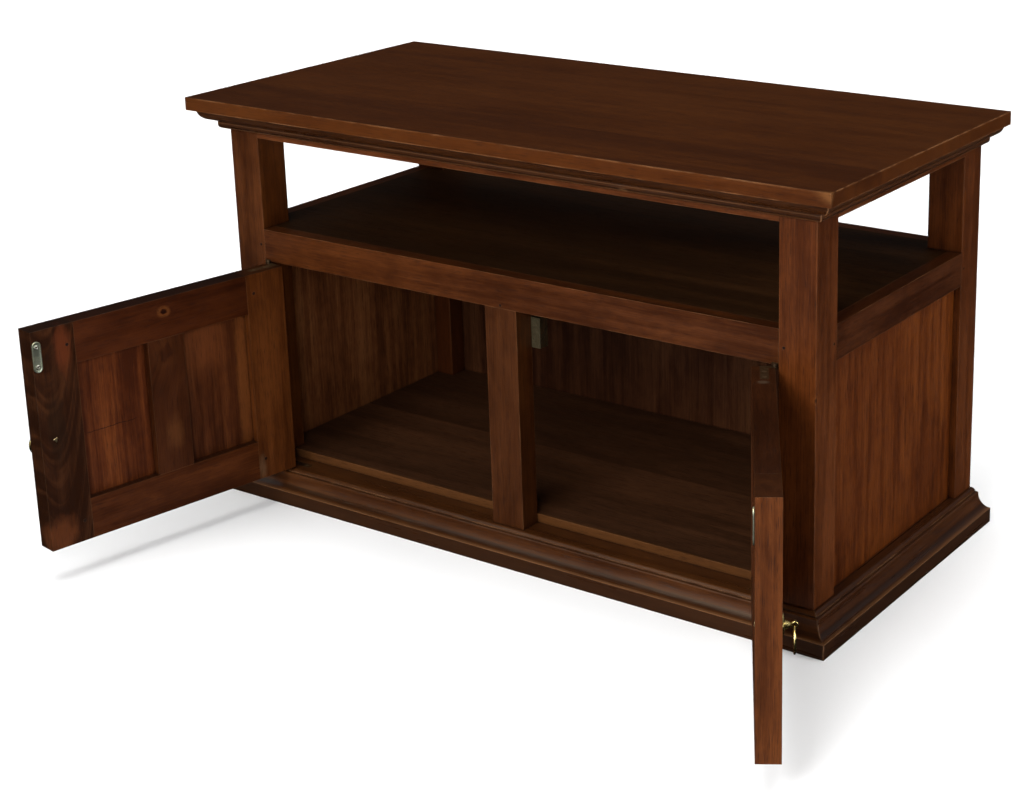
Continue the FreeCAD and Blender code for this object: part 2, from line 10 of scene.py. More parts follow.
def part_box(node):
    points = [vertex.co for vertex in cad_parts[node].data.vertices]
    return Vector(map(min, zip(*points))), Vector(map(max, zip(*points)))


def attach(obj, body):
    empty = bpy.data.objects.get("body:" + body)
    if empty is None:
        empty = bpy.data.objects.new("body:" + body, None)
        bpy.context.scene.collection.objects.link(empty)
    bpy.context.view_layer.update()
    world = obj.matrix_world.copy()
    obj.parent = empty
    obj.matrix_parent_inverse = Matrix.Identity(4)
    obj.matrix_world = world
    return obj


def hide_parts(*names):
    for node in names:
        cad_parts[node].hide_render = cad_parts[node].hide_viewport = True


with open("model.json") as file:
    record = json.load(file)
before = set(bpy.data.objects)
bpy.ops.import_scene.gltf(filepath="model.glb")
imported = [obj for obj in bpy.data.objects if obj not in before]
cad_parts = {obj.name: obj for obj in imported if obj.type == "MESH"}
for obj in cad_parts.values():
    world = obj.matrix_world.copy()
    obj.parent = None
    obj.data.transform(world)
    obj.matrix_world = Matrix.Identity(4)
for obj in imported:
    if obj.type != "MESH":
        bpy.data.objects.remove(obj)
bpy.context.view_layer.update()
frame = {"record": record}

# ---- what the frame says ----
JOINTS = {joint["name"]: joint for joint in frame["record"]["behaviour"]["joints"]}
SIDES = ("left", "right")
TOP_LOW, TOP_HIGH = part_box("top_panel")
POST_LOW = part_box("post_front_left")[0]
FRONT = POST_LOW.y
TOP_WIDTH = TOP_HIGH.x - TOP_LOW.x
HEIGHT = TOP_HIGH.z
MM = 0.001


def door_turn(side):
    """How far the door stands open at rest, as a turn about +Z from closed."""
    joint = JOINTS["door_" + side + "_hinge"]
    opened = math.radians(-joint["range_deg"][0])
    return -opened if side == "left" else opened


def ring_joint(side):
    return JOINTS["pull_ring_" + side + "_swing"]


def turned_points(node, turn):
    """The points of a CAD node with a door's turn taken out, as its wood is mapped."""
    back = Matrix.Rotation(-turn, 3, "Z")
    return [back @ vertex.co for vertex in bpy.data.objects[node].data.vertices]


def turned_box(node, turn=0.0):
    """Lowest and highest corners of a node in its own unturned frame."""
    points = turned_points(node, turn)
    low = Vector([min(point[axis] for point in points) for axis in range(3)])
    high = Vector([max(point[axis] for point in points) for axis in range(3)])
    return low, high


def spot(node, turn, across, deep, up):
    """A place in a node's unturned box, each way as a share from 0 to 1."""
    low, high = turned_box(node, turn)
    return Vector([low[axis] + share * (high[axis] - low[axis])
                   for axis, share in enumerate((across, deep, up))])


# ---- shader building ----
class Shader:
    """A small helper that adds nodes to one material and links them."""

    def __init__(self, name):
        self.material = bpy.data.materials.new(name)
        self.material.use_nodes = True
        self.tree = self.material.node_tree
        self.tree.nodes.clear()
        self.output = self.add("ShaderNodeOutputMaterial")
        self.surface = self.add("ShaderNodeBsdfPrincipled")
        self.link(self.surface.outputs["BSDF"], self.output.inputs["Surface"])

    def add(self, kind, **settings):
        node = self.tree.nodes.new(kind)
        for key, value in settings.items():
            setattr(node, key, value)
        return node

    def link(self, source, target):
        self.tree.links.new(source, target)

    def plug(self, socket, value):
        """A linked socket, or a plain number or colour set on the socket."""
        if isinstance(value, bpy.types.NodeSocket):
            self.link(value, socket)
        else:
            socket.default_value = value

    def math(self, operation, a, b=0.0):
        node = self.add("ShaderNodeMath", operation=operation)
        self.plug(node.inputs[0], a)
        self.plug(node.inputs[1], b)
        return node.outputs[0]

    def swing(self, texture, amount):
        """How far a texture is from its middle value, times an amount."""
        return self.math("MULTIPLY", self.math("SUBTRACT", texture, 0.5), amount)

    def range(self, value, low, high, to_low=0.0, to_high=1.0):
        node = self.add("ShaderNodeMapRange", interpolation_type="SMOOTHSTEP")
        self.plug(node.inputs["Value"], value)
        node.inputs["From Min"].default_value = low
        node.inputs["From Max"].default_value = high
        node.inputs["To Min"].default_value = to_low
        node.inputs["To Max"].default_value = to_high
        return node.outputs["Result"]

    def combine(self, x, y, z):
        node = self.add("ShaderNodeCombineXYZ")
        for socket, value in zip(node.inputs, (x, y, z)):
            self.plug(socket, value)
        return node.outputs[0]

    def noise(self, vector, scale=1.0, detail=3.0, rough=0.55, distort=0.0):
        node = self.add("ShaderNodeTexNoise")
        self.plug(node.inputs["Vector"], vector)
        node.inputs["Scale"].default_value = scale
        node.inputs["Detail"].default_value = detail
        node.inputs["Roughness"].default_value = rough
        node.inputs["Distortion"].default_value = distort
        return node.outputs["Fac"]

    def ramp(self, value, stops):
        node = self.add("ShaderNodeValToRGB")
        self.plug(node.inputs[0], value)
        elements = node.color_ramp.elements
        while len(elements) < len(stops):
            elements.new(0.5)
        for element, (place, colour) in zip(elements, stops):
            element.position = place
            element.color = (*colour, 1.0)
        return node.outputs[0]

    def mix(self, factor, a, b):
        node = self.add("ShaderNodeMix", data_type="RGBA")
        colours = [socket for socket in node.inputs if socket.type == "RGBA"]
        self.plug(node.inputs[0], factor)
        for socket, value in zip(colours, (a, b)):
            self.plug(socket, value if isinstance(value, bpy.types.NodeSocket) else (*value, 1.0))
        return [socket for socket in node.outputs if socket.type == "RGBA"][0]

    def local(self, turn=0.0):
        """Places on the piece, with a door's turn taken out so that X runs across it."""
        coordinates = self.add("ShaderNodeTexCoord")
        mapping = self.add("ShaderNodeMapping")
        mapping.inputs["Rotation"].default_value = (0.0, 0.0, -turn)
        self.link(coordinates.outputs["Object"], mapping.inputs["Vector"])
        return mapping.outputs[0]

    def separate(self, vector):
        node = self.add("ShaderNodeSeparateXYZ")
        self.link(vector, node.inputs[0])
        return node.outputs

    def edges(self, radius):
        """Near 1 on a sharp edge and 0 on a flat face."""
        bevel = self.add("ShaderNodeBevel", samples=4)
        bevel.inputs["Radius"].default_value = radius
        geometry = self.add("ShaderNodeNewGeometry")
        dot = self.add("ShaderNodeVectorMath", operation="DOT_PRODUCT")
        self.link(bevel.outputs[0], dot.inputs[0])
        self.link(geometry.outputs["Normal"], dot.inputs[1])
        return self.range(dot.outputs["Value"], 0.998, 0.92)

    def openness(self, reach):
        """1 on open faces and low in inner corners."""
        occlusion = self.add("ShaderNodeAmbientOcclusion", samples=4)
        occlusion.inputs["Distance"].default_value = reach
        return occlusion.outputs["AO"]

    def distance(self, vector, centre, stretch=(1.0, 1.0, 1.0)):
        """How far a place is from a centre, with each axis stretched."""
        offset = self.add("ShaderNodeVectorMath", operation="SUBTRACT")
        self.link(vector, offset.inputs[0])
        offset.inputs[1].default_value = centre
        scaled = self.add("ShaderNodeVectorMath", operation="MULTIPLY")
        self.link(offset.outputs[0], scaled.inputs[0])
        scaled.inputs[1].default_value = stretch
        length = self.add("ShaderNodeVectorMath", operation="LENGTH")
        self.link(scaled.outputs[0], length.inputs[0])
        return length.outputs["Value"]

    def bump(self, height, strength, distance, normal=None):
        node = self.add("ShaderNodeBump")
        node.inputs["Strength"].default_value = strength
        node.inputs["Distance"].default_value = distance
        self.link(height, node.inputs["Height"])
        if normal:
            self.link(normal, node.inputs["Normal"])
        return node.outputs[0]


# ---- wood ----
AXES = {"X": (0, 1, 2), "Y": (1, 0, 2), "Z": (2, 0, 1)}

# Each look: dark, middle and light stain colours, how strongly streaks and blotches show, and gloss.
LOOKS = {
    "top": dict(dark=(0.032, 0.0094, 0.0026), middle=(0.045, 0.0140, 0.0036),
                light=(0.058, 0.0190, 0.0048), streak=0.55, blotch=0.45, rough=0.34, shine=0.10),
    "frame": dict(dark=(0.040, 0.0094, 0.0018), middle=(0.068, 0.0172, 0.0034),
                  light=(0.105, 0.0285, 0.0060), streak=0.70, blotch=0.80, rough=0.31, shine=0.12),
    "panel": dict(dark=(0.040, 0.0088, 0.0016), middle=(0.078, 0.0188, 0.0034),
                  light=(0.130, 0.0355, 0.0064), streak=0.95, blotch=0.60, rough=0.33, shine=0.12),
    "inside": dict(dark=(0.026, 0.0078, 0.0022), middle=(0.040, 0.0120, 0.0034),
                   light=(0.060, 0.0180, 0.0050), streak=0.60, blotch=0.45, rough=0.40, shine=0.06),
    "moulding": dict(dark=(0.036, 0.0100, 0.0028), middle=(0.056, 0.0165, 0.0044),
                     light=(0.086, 0.0270, 0.0072), streak=0.60, blotch=0.60, rough=0.24, shine=0.34),
}
# Each texture: how fine it is across and along the grain, its detail, roughness and distortion.
TEXTURES = {
    "lines": (120.0, 3.0, 3.0, 0.60, 0.3),
    "hair": (520.0, 14.0, 2.0, 0.55, 0.0),
    "pores": (1100.0, 45.0, 1.0, 0.55, 0.0),
    "fleck": (300.0, 75.0, 3.0, 0.70, 0.0),
    "blotch": (11.0, 5.0, 3.0, 0.60, 0.5),
    "cloud": (30.0, 13.0, 3.0, 0.60, 0.8),
    "mottle": (70.0, 45.0, 3.0, 0.65, 0.0),
    "rubbing": (60.0, 25.0, 3.0, 0.55, 0.0),
}
# What lies over the stain, and the tone of a board that took it as its look says.
# Pale wear on edges and chipped mitres, also used for painted highlights on the top's arris and the
# mouldings' beads.
WEAR_AND_HIGHLIGHT = (0.230, 0.105, 0.042)
PORE = (0.012, 0.0035, 0.0012)
# Dark joints and cracks, and painted shade in corners, hollows, moulding steps and on faces that look
# up.
SHADE_AND_GRIME = (0.008, 0.0028, 0.0012)
# A darker colour laid over the plinth's upright face.
PLINTH_DARK = (0.022, 0.0088, 0.0036)
KNOT_HEART = (0.010, 0.0025, 0.0010)
KNOT_RIM = (0.190, 0.060, 0.014)
PLAIN = (1.0, 1.0, 1.0)
# How much the edges are rubbed pale: on the top and mouldings, where this also paints a highlight along
# the arrises, on other carcass boards, on the doors.
MUCH_WEAR_AND_SHEEN = 2.2
SOME_WEAR = 0.9
LITTLE_WEAR = 0.22
# How far from an edge wear reaches (on the top, also the painted arris highlight), and how far painted
# shade reaches from an inner corner.
WORN_EDGE = 1.3 * MM
TOP_WORN_AND_SHEEN_EDGE = 2.2 * MM
CORNER_SHADE_REACH = 6 * MM
HOLLOW_SHADE_REACH = 3 * MM
BAND_SOFT = 0.5 * MM
EASED_EDGE = 0.45 * MM
EASED_ANGLE = math.radians(40.0)
SHADED_EDGE = 0.8 * MM
BUMP_DEPTH = 0.16 * MM
# How much the roughness varies over a surface.
GLOSS_SWING = 0.14
# How glued-up boards differ: a shift of the figure along the grain, and a lighter or darker shade.
BOARD_SHIFT = 7.0
BOARD_SHADE = 0.26
DEEP_SEED = 3.1


class Knot:
    """A knot: where its middle is, its radius, and how strongly its golden ring and dark heart show."""

    def __init__(self, centre, radius, ring=0.45, heart=0.9):
        self.centre = centre
        self.radius = radius
        self.ring = ring
        self.heart = heart


def toned(colour, tone):
    return tuple(channel * amount for channel, amount in zip(colour, tone))


def laid_out(shader, place, grain, seed, board, knots):
    """Places along, across and deep in a board, bent round its knots, and the board's own shade."""
    axes = shader.separate(place)
    along, across, deep = (axes[index] for index in AXES[grain])
    for knot in knots:
        stretch = [1.0 / knot.radius] * 3
        stretch[AXES[grain][0]] *= 0.55
        near = shader.distance(place, knot.centre, stretch)
        swell = shader.range(near, 3.2, 0.2, 0.0, knot.radius * 1.5)
        across = shader.math("ADD", across, swell)
    along = shader.math("ADD", along, seed)
    shade = 0.0
    if board:
        strip = shader.math("FLOOR", shader.math("DIVIDE", shader.math("ADD", across, seed), board))
        chance = shader.add("ShaderNodeTexWhiteNoise", noise_dimensions="1D")
        shader.link(strip, chance.inputs["W"])
        shifted = shader.math("MULTIPLY", chance.outputs["Value"], BOARD_SHIFT)
        along = shader.math("ADD", along, shifted)
        shade = shader.swing(chance.outputs["Value"], BOARD_SHADE)
    deep = shader.math("ADD", deep, seed * DEEP_SEED)
    return along, across, deep, shade


def stretched(shader, ways, fine, long):
    """Places with the grain's direction drawn out."""
    along, across, deep = ways
    return shader.combine(shader.math("MULTIPLY", along, long),
                          shader.math("MULTIPLY", across, fine),
                          shader.math("MULTIPLY", deep, fine))


def cathedral(shader, ways, arch):
    """The nested arches of a board cut near the middle of the tree."""
    along, across, deep = ways
    middle, half, length = arch
    bow = shader.math("DIVIDE", shader.math("SUBTRACT", across, middle), half)
    bow = shader.math("MULTIPLY", bow, bow)
    rise = shader.math("ADD", shader.math("DIVIDE", along, length), bow)
    bent = shader.combine(shader.math("MULTIPLY", rise, 3.2),
                          shader.math("MULTIPLY", across, 9.0),
                          shader.math("MULTIPLY", deep, 9.0))
    figure = shader.noise(bent, detail=3.0, distort=0.7)
    return shader.range(figure, 0.30, 0.70, 0.15, 0.85)


def stained(shader, stain, tone, figure, textures, shade):
    """The stain's colour, lighter and darker with the grain."""
    value = shader.math("ADD", figure, shader.swing(textures["lines"], stain["streak"]))
    for name, amount in (("hair", 0.55), ("fleck", 0.34), ("mottle", 0.30),
                         ("cloud", 0.8 * stain["blotch"]), ("blotch", stain["blotch"])):
        value = shader.math("ADD", value, shader.swing(textures[name], amount))
    value = shader.math("ADD", value, shade)
    return shader.ramp(value, [(0.22, toned(stain["dark"], tone)),
                               (0.5, toned(stain["middle"], tone)),
                               (0.82, toned(stain["light"], tone))])


def patched(shader, colour, place, patches, mottle):
    """Ragged pale or dark patches."""
    for centre, reach, patch_colour, strength in patches:
        near = shader.distance(place, centre, [1.0 / size for size in reach])
        ragged = shader.math("ADD", near, shader.swing(mottle, 1.1))
        colour = shader.mix(shader.range(ragged, 1.15, 0.35, 0.0, strength), colour, patch_colour)
    return colour


def knotted(shader, colour, place, knots, grain, textures):
    """Each knot's golden ring and dark heart."""
    for knot in knots:
        stretch = [1.0 / knot.radius] * 3
        stretch[AXES[grain][0]] *= 0.8
        near = shader.distance(place, knot.centre, stretch)
        near = shader.math("ADD", near, shader.swing(textures["mottle"], 1.6))
        near = shader.math("ADD", near, shader.swing(textures["fleck"], 0.9))
        rim = shader.math("MULTIPLY", shader.range(near, 1.9, 1.1, 0.0, knot.ring),
                          shader.range(near, 0.55, 0.95))
        colour = shader.mix(rim, colour, KNOT_RIM)
        colour = shader.mix(shader.range(near, 0.85, 0.40, 0.0, knot.heart), colour, KNOT_HEART)
    return colour


def crack_line(shader, place, crack, mottle):
    """1 along a level, slightly wandering crack."""
    centre, half, axis = crack
    offset = shader.separate(place)
    thin = shader.math("ADD", offset[2], shader.math("MULTIPLY", mottle, 6 * MM))
    thin = shader.math("ABSOLUTE", shader.math("SUBTRACT", thin, centre.z + 3 * MM))
    side_way = shader.math("ABSOLUTE", shader.math("SUBTRACT", offset[axis], centre[axis]))
    return shader.math("MULTIPLY", shader.range(thin, 0.9 * MM, 0.2 * MM),
                       shader.range(side_way, half, half * 0.8))


def banded(shader, colour, place, bands, blotch):
    """Level lines that follow a moulding's steps: painted shade in its steps and under overhangs,
    painted highlights on its beads, and a darker plinth face with a pale line along its top edge.
    """
    for low, high, band_colour, strength in bands:
        level = shader.separate(place)[2]
        above = shader.range(level, low - BAND_SOFT, low + BAND_SOFT, 0.0, strength)
        below = shader.range(level, high + BAND_SOFT, high - BAND_SOFT)
        inside = shader.math("MULTIPLY", above, below)
        inside = shader.math("MULTIPLY", inside, shader.range(blotch, 0.30, 0.55, 0.55, 1.0))
        colour = shader.mix(inside, colour, band_colour)
    return colour


def mitred(shader, colour, place, mitres, mottle):
    """The dark line of each mitre, with its edges chipped pale."""
    for corner, way in mitres:
        plan = shader.separate(place)
        sideways = shader.math("MULTIPLY", shader.math("SUBTRACT", plan[0], corner), way)
        forward = shader.math("SUBTRACT", plan[1], FRONT)
        gap = shader.math("ABSOLUTE", shader.math("ADD", sideways, forward))
        chipped = shader.math("MULTIPLY", shader.range(gap, 2.0 * MM, 0.9 * MM, 0.0, 0.6),
                              shader.range(mottle, 0.46, 0.56))
        colour = shader.mix(chipped, colour, WEAR_AND_HIGHLIGHT)
        colour = shader.mix(shader.range(gap, 0.8 * MM, 0.35 * MM, 0.0, 0.85), colour, SHADE_AND_GRIME)
    return colour


def shaded_top_faces(shader, colour):
    """Painted shade: faces that look straight up are darkened."""
    facing = shader.add("ShaderNodeNewGeometry")
    upward = shader.separate(facing.outputs["Normal"])[2]
    return shader.mix(shader.range(upward, 0.5, 0.9, 0.0, 0.62), colour, SHADE_AND_GRIME)


def shaded_and_rubbed(shader, colour, look, rubbing, wear_and_sheen):
    """Painted shade darkening the inner corners and a moulding's hollows, and edges rubbed pale where
    they stand free, which on the top and mouldings also paints the arris highlight.
    """
    # Painted shade: inner corners darkened by how closed-in they are.
    open_faces = shader.openness(CORNER_SHADE_REACH)
    colour = shader.mix(shader.range(open_faces, 0.80, 0.35, 0.0, 0.75), colour, SHADE_AND_GRIME)
    # Painted shade: a moulding's hollows darkened further.
    if look == "moulding":
        hollow = shader.openness(HOLLOW_SHADE_REACH)
        colour = shader.mix(shader.range(hollow, 0.92, 0.45, 0.0, 0.85), colour, SHADE_AND_GRIME)
    # Pale edges: wear, and on the top and mouldings also a painted highlight along the arris.
    rubbed_and_sheen = shader.range(rubbing, 0.38, 0.66, 0.10, 0.65 * wear_and_sheen)
    reach = TOP_WORN_AND_SHEEN_EDGE if look == "top" else WORN_EDGE
    edge = shader.math("MULTIPLY", shader.edges(reach), rubbed_and_sheen)
    edge = shader.math("MULTIPLY", edge, shader.range(open_faces, 0.55, 0.85))
    return shader.mix(edge, colour, WEAR_AND_HIGHLIGHT)


def grain_surface(shader, stain, textures, pore_mask, crack_mask):
    """Gloss and relief: open pores, raised grain, cracks and softened edges."""
    lines, hair = textures["lines"], textures["hair"]
    rough = shader.math("MULTIPLY", lines, GLOSS_SWING)
    rough = shader.math("ADD", rough, stain["rough"] - GLOSS_SWING / 2)
    rough = shader.math("ADD", rough, shader.math("MULTIPLY", textures["blotch"], 0.10))
    rough = shader.math("ADD", rough, shader.math("MULTIPLY", pore_mask, 0.25))
    shader.link(rough, shader.surface.inputs["Roughness"])
    shader.surface.inputs["Specular IOR Level"].default_value = stain["shine"]
    height = shader.math("SUBTRACT", shader.math("MULTIPLY", hair, 0.5), pore_mask)
    height = shader.math("ADD", height, shader.math("MULTIPLY", lines, 0.8))
    height = shader.math("ADD", height, shader.math("MULTIPLY", textures["mottle"], 0.8))
    if crack_mask:
        height = shader.math("SUBTRACT", height, shader.math("MULTIPLY", crack_mask, 2.0))
    rounded = shader.add("ShaderNodeBevel", samples=4)
    rounded.inputs["Radius"].default_value = SHADED_EDGE
    normal = shader.bump(height, 0.35, BUMP_DEPTH, rounded.outputs[0])
    shader.link(normal, shader.surface.inputs["Normal"])


def wood(name, look, grain, turn, seed, board, tone, wear_and_sheen,
         knots=(), arch=None, patches=(), crack=None, bands=(), mitres=(), painted_shade_on_top=False):
    """Stained wood: figure, streaks, pores, blotches of stain, painted shade in corners, and rubbed
    edges that partly paint a highlight.

    grain is the axis that the grain runs along, and board is the width of the glued-up boards.
    arch is (middle across, half width, length) of a cathedral figure.
    patches are (centre, reach, colour, strength) and crack is (centre, half length, axis).
    bands are (low, high, colour, strength) and run level round a moulding.
    mitres are (corner across, way out from it) for the front corners where two mouldings meet.
    """
    stain = LOOKS[look]
    shader = Shader(name)
    place = shader.local(turn)
    *ways, shade = laid_out(shader, place, grain, seed, board, knots)
    if arch:
        figure = cathedral(shader, ways, arch)
    else:
        figure = shader.noise(stretched(shader, ways, 17.0, 1.7), detail=4.0, distort=1.1)
    textures = {texture: shader.noise(stretched(shader, ways, fine, long), 1.0, *kind)
                for texture, (fine, long, *kind) in TEXTURES.items()}

    colour = stained(shader, stain, tone, figure, textures, shade)
    colour = patched(shader, colour, place, patches, textures["mottle"])
    colour = knotted(shader, colour, place, knots, grain, textures)
    pore_mask = shader.range(textures["pores"], 0.58, 0.70, 0.0, 0.55)
    colour = shader.mix(pore_mask, colour, PORE)
    crack_mask = crack_line(shader, place, crack, textures["mottle"]) if crack else None
    if crack_mask:
        colour = shader.mix(shader.math("MULTIPLY", crack_mask, 0.8), colour, SHADE_AND_GRIME)
    colour = banded(shader, colour, place, bands, textures["blotch"])
    colour = mitred(shader, colour, place, mitres, textures["mottle"])
    # Painted shade on the door's upward faces.
    if painted_shade_on_top:
        colour = shaded_top_faces(shader, colour)
    colour = shaded_and_rubbed(shader, colour, look, textures["rubbing"], wear_and_sheen)
    shader.link(colour, shader.surface.inputs["Base Color"])
    grain_surface(shader, stain, textures, pore_mask, crack_mask)
    return shader.material


def paint(node, material):
    """Gives a CAD node one material on all its faces."""
    thing = bpy.data.objects[node]
    thing.data.materials.clear()
    thing.data.materials.append(material)


# Each carcass piece: its look, the way its grain runs, and the width of its boards if glued up.
CARCASS_WOOD = {
    "top_panel": ("top", "X", 0.118),
    "shelf_panel": ("inside", "X", 0.105),
    "floor_panel": ("inside", "X", 0.11),
    "back_panel": ("panel", "Z", 0.098),
    "side_panel_left": ("panel", "Z", 0.088),
    "side_panel_right": ("panel", "Z", 0.088),
    "cornice_front": ("moulding", "X", None),
    "cornice_left": ("moulding", "Y", None),
    "cornice_right": ("moulding", "Y", None),
    "apron_front": ("frame", "X", None),
    "apron_back": ("frame", "X", None),
    "apron_left": ("frame", "Y", None),
    "apron_right": ("frame", "Y", None),
    "mid_rail_front": ("frame", "X", None),
    "mid_rail_back": ("frame", "X", None),
    "mid_rail_left": ("frame", "Y", None),
    "mid_rail_right": ("frame", "Y", None),
    "post_front_left": ("frame", "Z", None),
    "post_front_right": ("frame", "Z", None),
    "post_back_left": ("frame", "Z", None),
    "post_back_right": ("frame", "Z", None),
    "centre_stile": ("frame", "Z", None),
    "base_front": ("moulding", "X", None),
    "base_left": ("moulding", "Y", None),
    "base_right": ("moulding", "Y", None),
    "base_back": ("inside", "X", None),
    "base_centre_bearer": ("inside", "Y", None),
}
DOOR_WOOD = {
    "door_hinge_stile": ("frame", "Z"),
    "door_free_stile": ("frame", "Z"),
    "door_top_rail": ("frame", "X"),
    "door_bottom_rail": ("frame", "X"),
    "door_muntin": ("frame", "Z"),
    "door_panel_hinge_side": ("panel", "Z"),
    "door_panel_free_side": ("panel", "Z"),
}
SEED_STEP = 0.731

# How much lighter, redder or yellower each board took the stain than its neighbours; the left side
# panel's tone also paints light onto its dim inner face.
TONES = {
    "top_panel": (1.32, 1.06, 0.50),
    "shelf_panel": (0.66, 0.86, 0.98),
    "floor_panel": (1.15, 1.48, 2.20),
    "back_panel": (0.47, 0.62, 1.25),
    # Painted light: this board is made much paler so that its dim inner face looks lit.
    "side_panel_left": (1.30, 1.70, 3.00),
    "side_panel_right": (0.98, 0.86, 0.52),
    "cornice_front": (0.66, 0.64, 0.48),
    "cornice_right": (0.90, 0.90, 0.80),
    "mid_rail_front": (0.78, 0.78, 0.74),
    "mid_rail_right": (0.66, 0.66, 0.76),
    "post_front_left": (0.76, 0.77, 0.66),
    "post_back_left": (0.55, 0.52, 0.60),
    "post_front_right": (1.12, 1.08, 1.00),
    "post_back_right": (0.96, 0.90, 0.80),
    "centre_stile": (0.54, 0.57, 0.60),
    "base_front": (0.86, 0.84, 0.62),
    "base_right": (0.74, 0.72, 0.64),
    "door_free_stile_left": (0.36, 0.40, 0.50),
    "door_top_rail_left": (0.46, 0.38, 0.36),
    "door_bottom_rail_left": (0.74, 0.70, 0.66),
    "door_hinge_stile_left": (0.90, 0.92, 0.85),
    "door_panel_free_side_left": (0.80, 0.72, 0.75),
    "door_muntin_left": (0.44, 0.42, 0.48),
    "door_panel_hinge_side_left": (0.74, 0.78, 1.06),
    "door_free_stile_right": (0.95, 0.96, 0.86),
    "door_hinge_stile_right": (0.88, 0.86, 0.86),
    "door_top_rail_right": (0.80, 0.76, 0.78),
    "door_bottom_rail_right": (0.86, 0.84, 0.84),
    "door_muntin_right": (0.74, 0.70, 0.72),
    "door_panel_hinge_side_right": (0.86, 0.80, 0.80),
    "door_panel_free_side_right": (0.92, 0.86, 0.84),
}
# The mouldings' own heights: the plinth's upright face, and how far the ovolo comes down.
PLINTH_FACE = 20.0 * MM
OVOLO_FOOT = 15.5 * MM
FAR = 1.0


def features():
    """What marks out single boards: knots, cathedral figure, pale or dark patches, a crack; and on the
    mouldings, lines of painted shade and highlight, and their mitres.
    """
    left = door_turn("left")
    right = door_turn("right")
    stile = "door_free_stile_left"
    low, high = turned_box(stile, left)
    left_mitre = [(POST_LOW.x, -1.0)]
    right_mitre = [(-POST_LOW.x, 1.0)]
    # The plinth: its upright face darker, a pale line along its top edge, and painted shade at the foot
    # of the cove above it.
    plinth_bands = [
        (-FAR, PLINTH_FACE - 0.6 * MM, PLINTH_DARK, 0.68),
        (PLINTH_FACE - 0.5 * MM, PLINTH_FACE + 0.3 * MM, WEAR_AND_HIGHLIGHT, 0.60),
        (PLINTH_FACE + 1.4 * MM, PLINTH_FACE + 5.0 * MM, SHADE_AND_GRIME, 0.55)]
    cornice_low, cornice_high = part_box("cornice_front")
    neck = cornice_high.z - OVOLO_FOOT
    # The cornice: painted shade under the slab's overhang and in each step of its profile, and painted
    # highlights on its beads.
    cornice_bands = [
        (cornice_high.z - 0.4 * MM, FAR, SHADE_AND_GRIME, 0.80),
        (cornice_high.z - 2.9 * MM, cornice_high.z - 2.1 * MM, SHADE_AND_GRIME, 0.60),
        (neck - 1.6 * MM, neck + 0.4 * MM, SHADE_AND_GRIME, 0.85),
        (neck - 5.0 * MM, neck - 4.0 * MM, WEAR_AND_HIGHLIGHT, 0.30),
        (cornice_low.z + 3.0 * MM, cornice_low.z + 4.6 * MM, SHADE_AND_GRIME, 0.70),
        (cornice_low.z + 1.0 * MM, cornice_low.z + 2.2 * MM, WEAR_AND_HIGHLIGHT, 0.25)]
    marks = {
        "base_front": dict(bands=plinth_bands, mitres=left_mitre + right_mitre),
        "base_left": dict(bands=plinth_bands, mitres=left_mitre),
        "base_right": dict(bands=plinth_bands, mitres=right_mitre),
        "cornice_left": dict(bands=cornice_bands, mitres=left_mitre),
        "cornice_right": dict(bands=cornice_bands, mitres=right_mitre),
        # Painted light: the floor panel's front edge is made paler, as a lit face.
        "floor_panel": dict(patches=[
            (spot("floor_panel", 0.0, 0.5, 0.0, 0.5), (0.70, 0.004, 0.020),
             (0.110, 0.040, 0.010), 0.6)]),
        stile: dict(arch=(0.3 * low.x + 0.7 * high.x, 34 * MM, -75 * MM), patches=[
            (spot(stile, left, 0.75, 1.0, 0.06), (0.030, 0.03, 0.030), (0.085, 0.022, 0.005), 0.7),
            (spot(stile, left, 0.30, 1.0, 0.90), (0.014, 0.03, 0.040), (0.095, 0.020, 0.005), 0.6),
            (spot(stile, left, 0.60, 1.0, 0.55), (0.016, 0.03, 0.060), (0.012, 0.005, 0.002), 0.6)]),
        "door_top_rail_left": dict(
            knots=[Knot(spot("door_top_rail_left", left, 0.50, 1.0, 0.66), 5 * MM, 0.30)]),
        "door_muntin_left": dict(
            knots=[Knot(spot("door_muntin_left", left, 0.50, 1.0, 0.84), 13 * MM, 0.05, 0.22)],
            patches=[(spot("door_muntin_left", left, 0.45, 1.0, 0.30), (0.016, 0.03, 0.030),
                      (0.110, 0.036, 0.009), 0.38)]),
        "door_panel_free_side_left": dict(
            crack=(spot("door_panel_free_side_left", left, 0.55, 1.0, 0.46), 0.040, 0)),
        "door_panel_hinge_side_left": dict(patches=[
            (spot("door_panel_hinge_side_left", left, 0.14, 1.0, 0.50), (0.012, 0.03, 0.130),
             (0.140, 0.042, 0.009), 0.62),
            (spot("door_panel_hinge_side_left", left, 0.62, 1.0, 0.85), (0.040, 0.03, 0.050),
             (0.110, 0.030, 0.008), 0.5)]),
        "door_hinge_stile_left": dict(patches=[
            (spot("door_hinge_stile_left", left, 0.92, 1.0, 0.05), (0.008, 0.010, 0.022),
             (0.150, 0.095, 0.050), 0.30)]),
        "door_hinge_stile_right": dict(patches=[
            (spot("door_hinge_stile_right", right, 0.09, 0.55, 1.0), (0.007, 0.008, 0.002),
             (0.200, 0.140, 0.090), 0.6)]),
        "top_panel": dict(patches=[
            (Vector((TOP_HIGH.x, TOP_LOW.y, TOP_HIGH.z)), (0.022, 0.008, 0.014),
             (0.200, 0.080, 0.022), 0.45)]),
        "cornice_front": dict(bands=cornice_bands, mitres=left_mitre + right_mitre, patches=[
            (spot("cornice_front", 0.0, 0.705, 0.60, 0.12), (0.008, 0.02, 0.003),
             (0.200, 0.090, 0.032), 0.35)]),
        "post_front_right": dict(
            knots=[Knot(spot("post_front_right", 0.0, 1.0, 0.02, 0.52), 3.0 * MM, 0.25, 0.7)]),
    }
    return marks


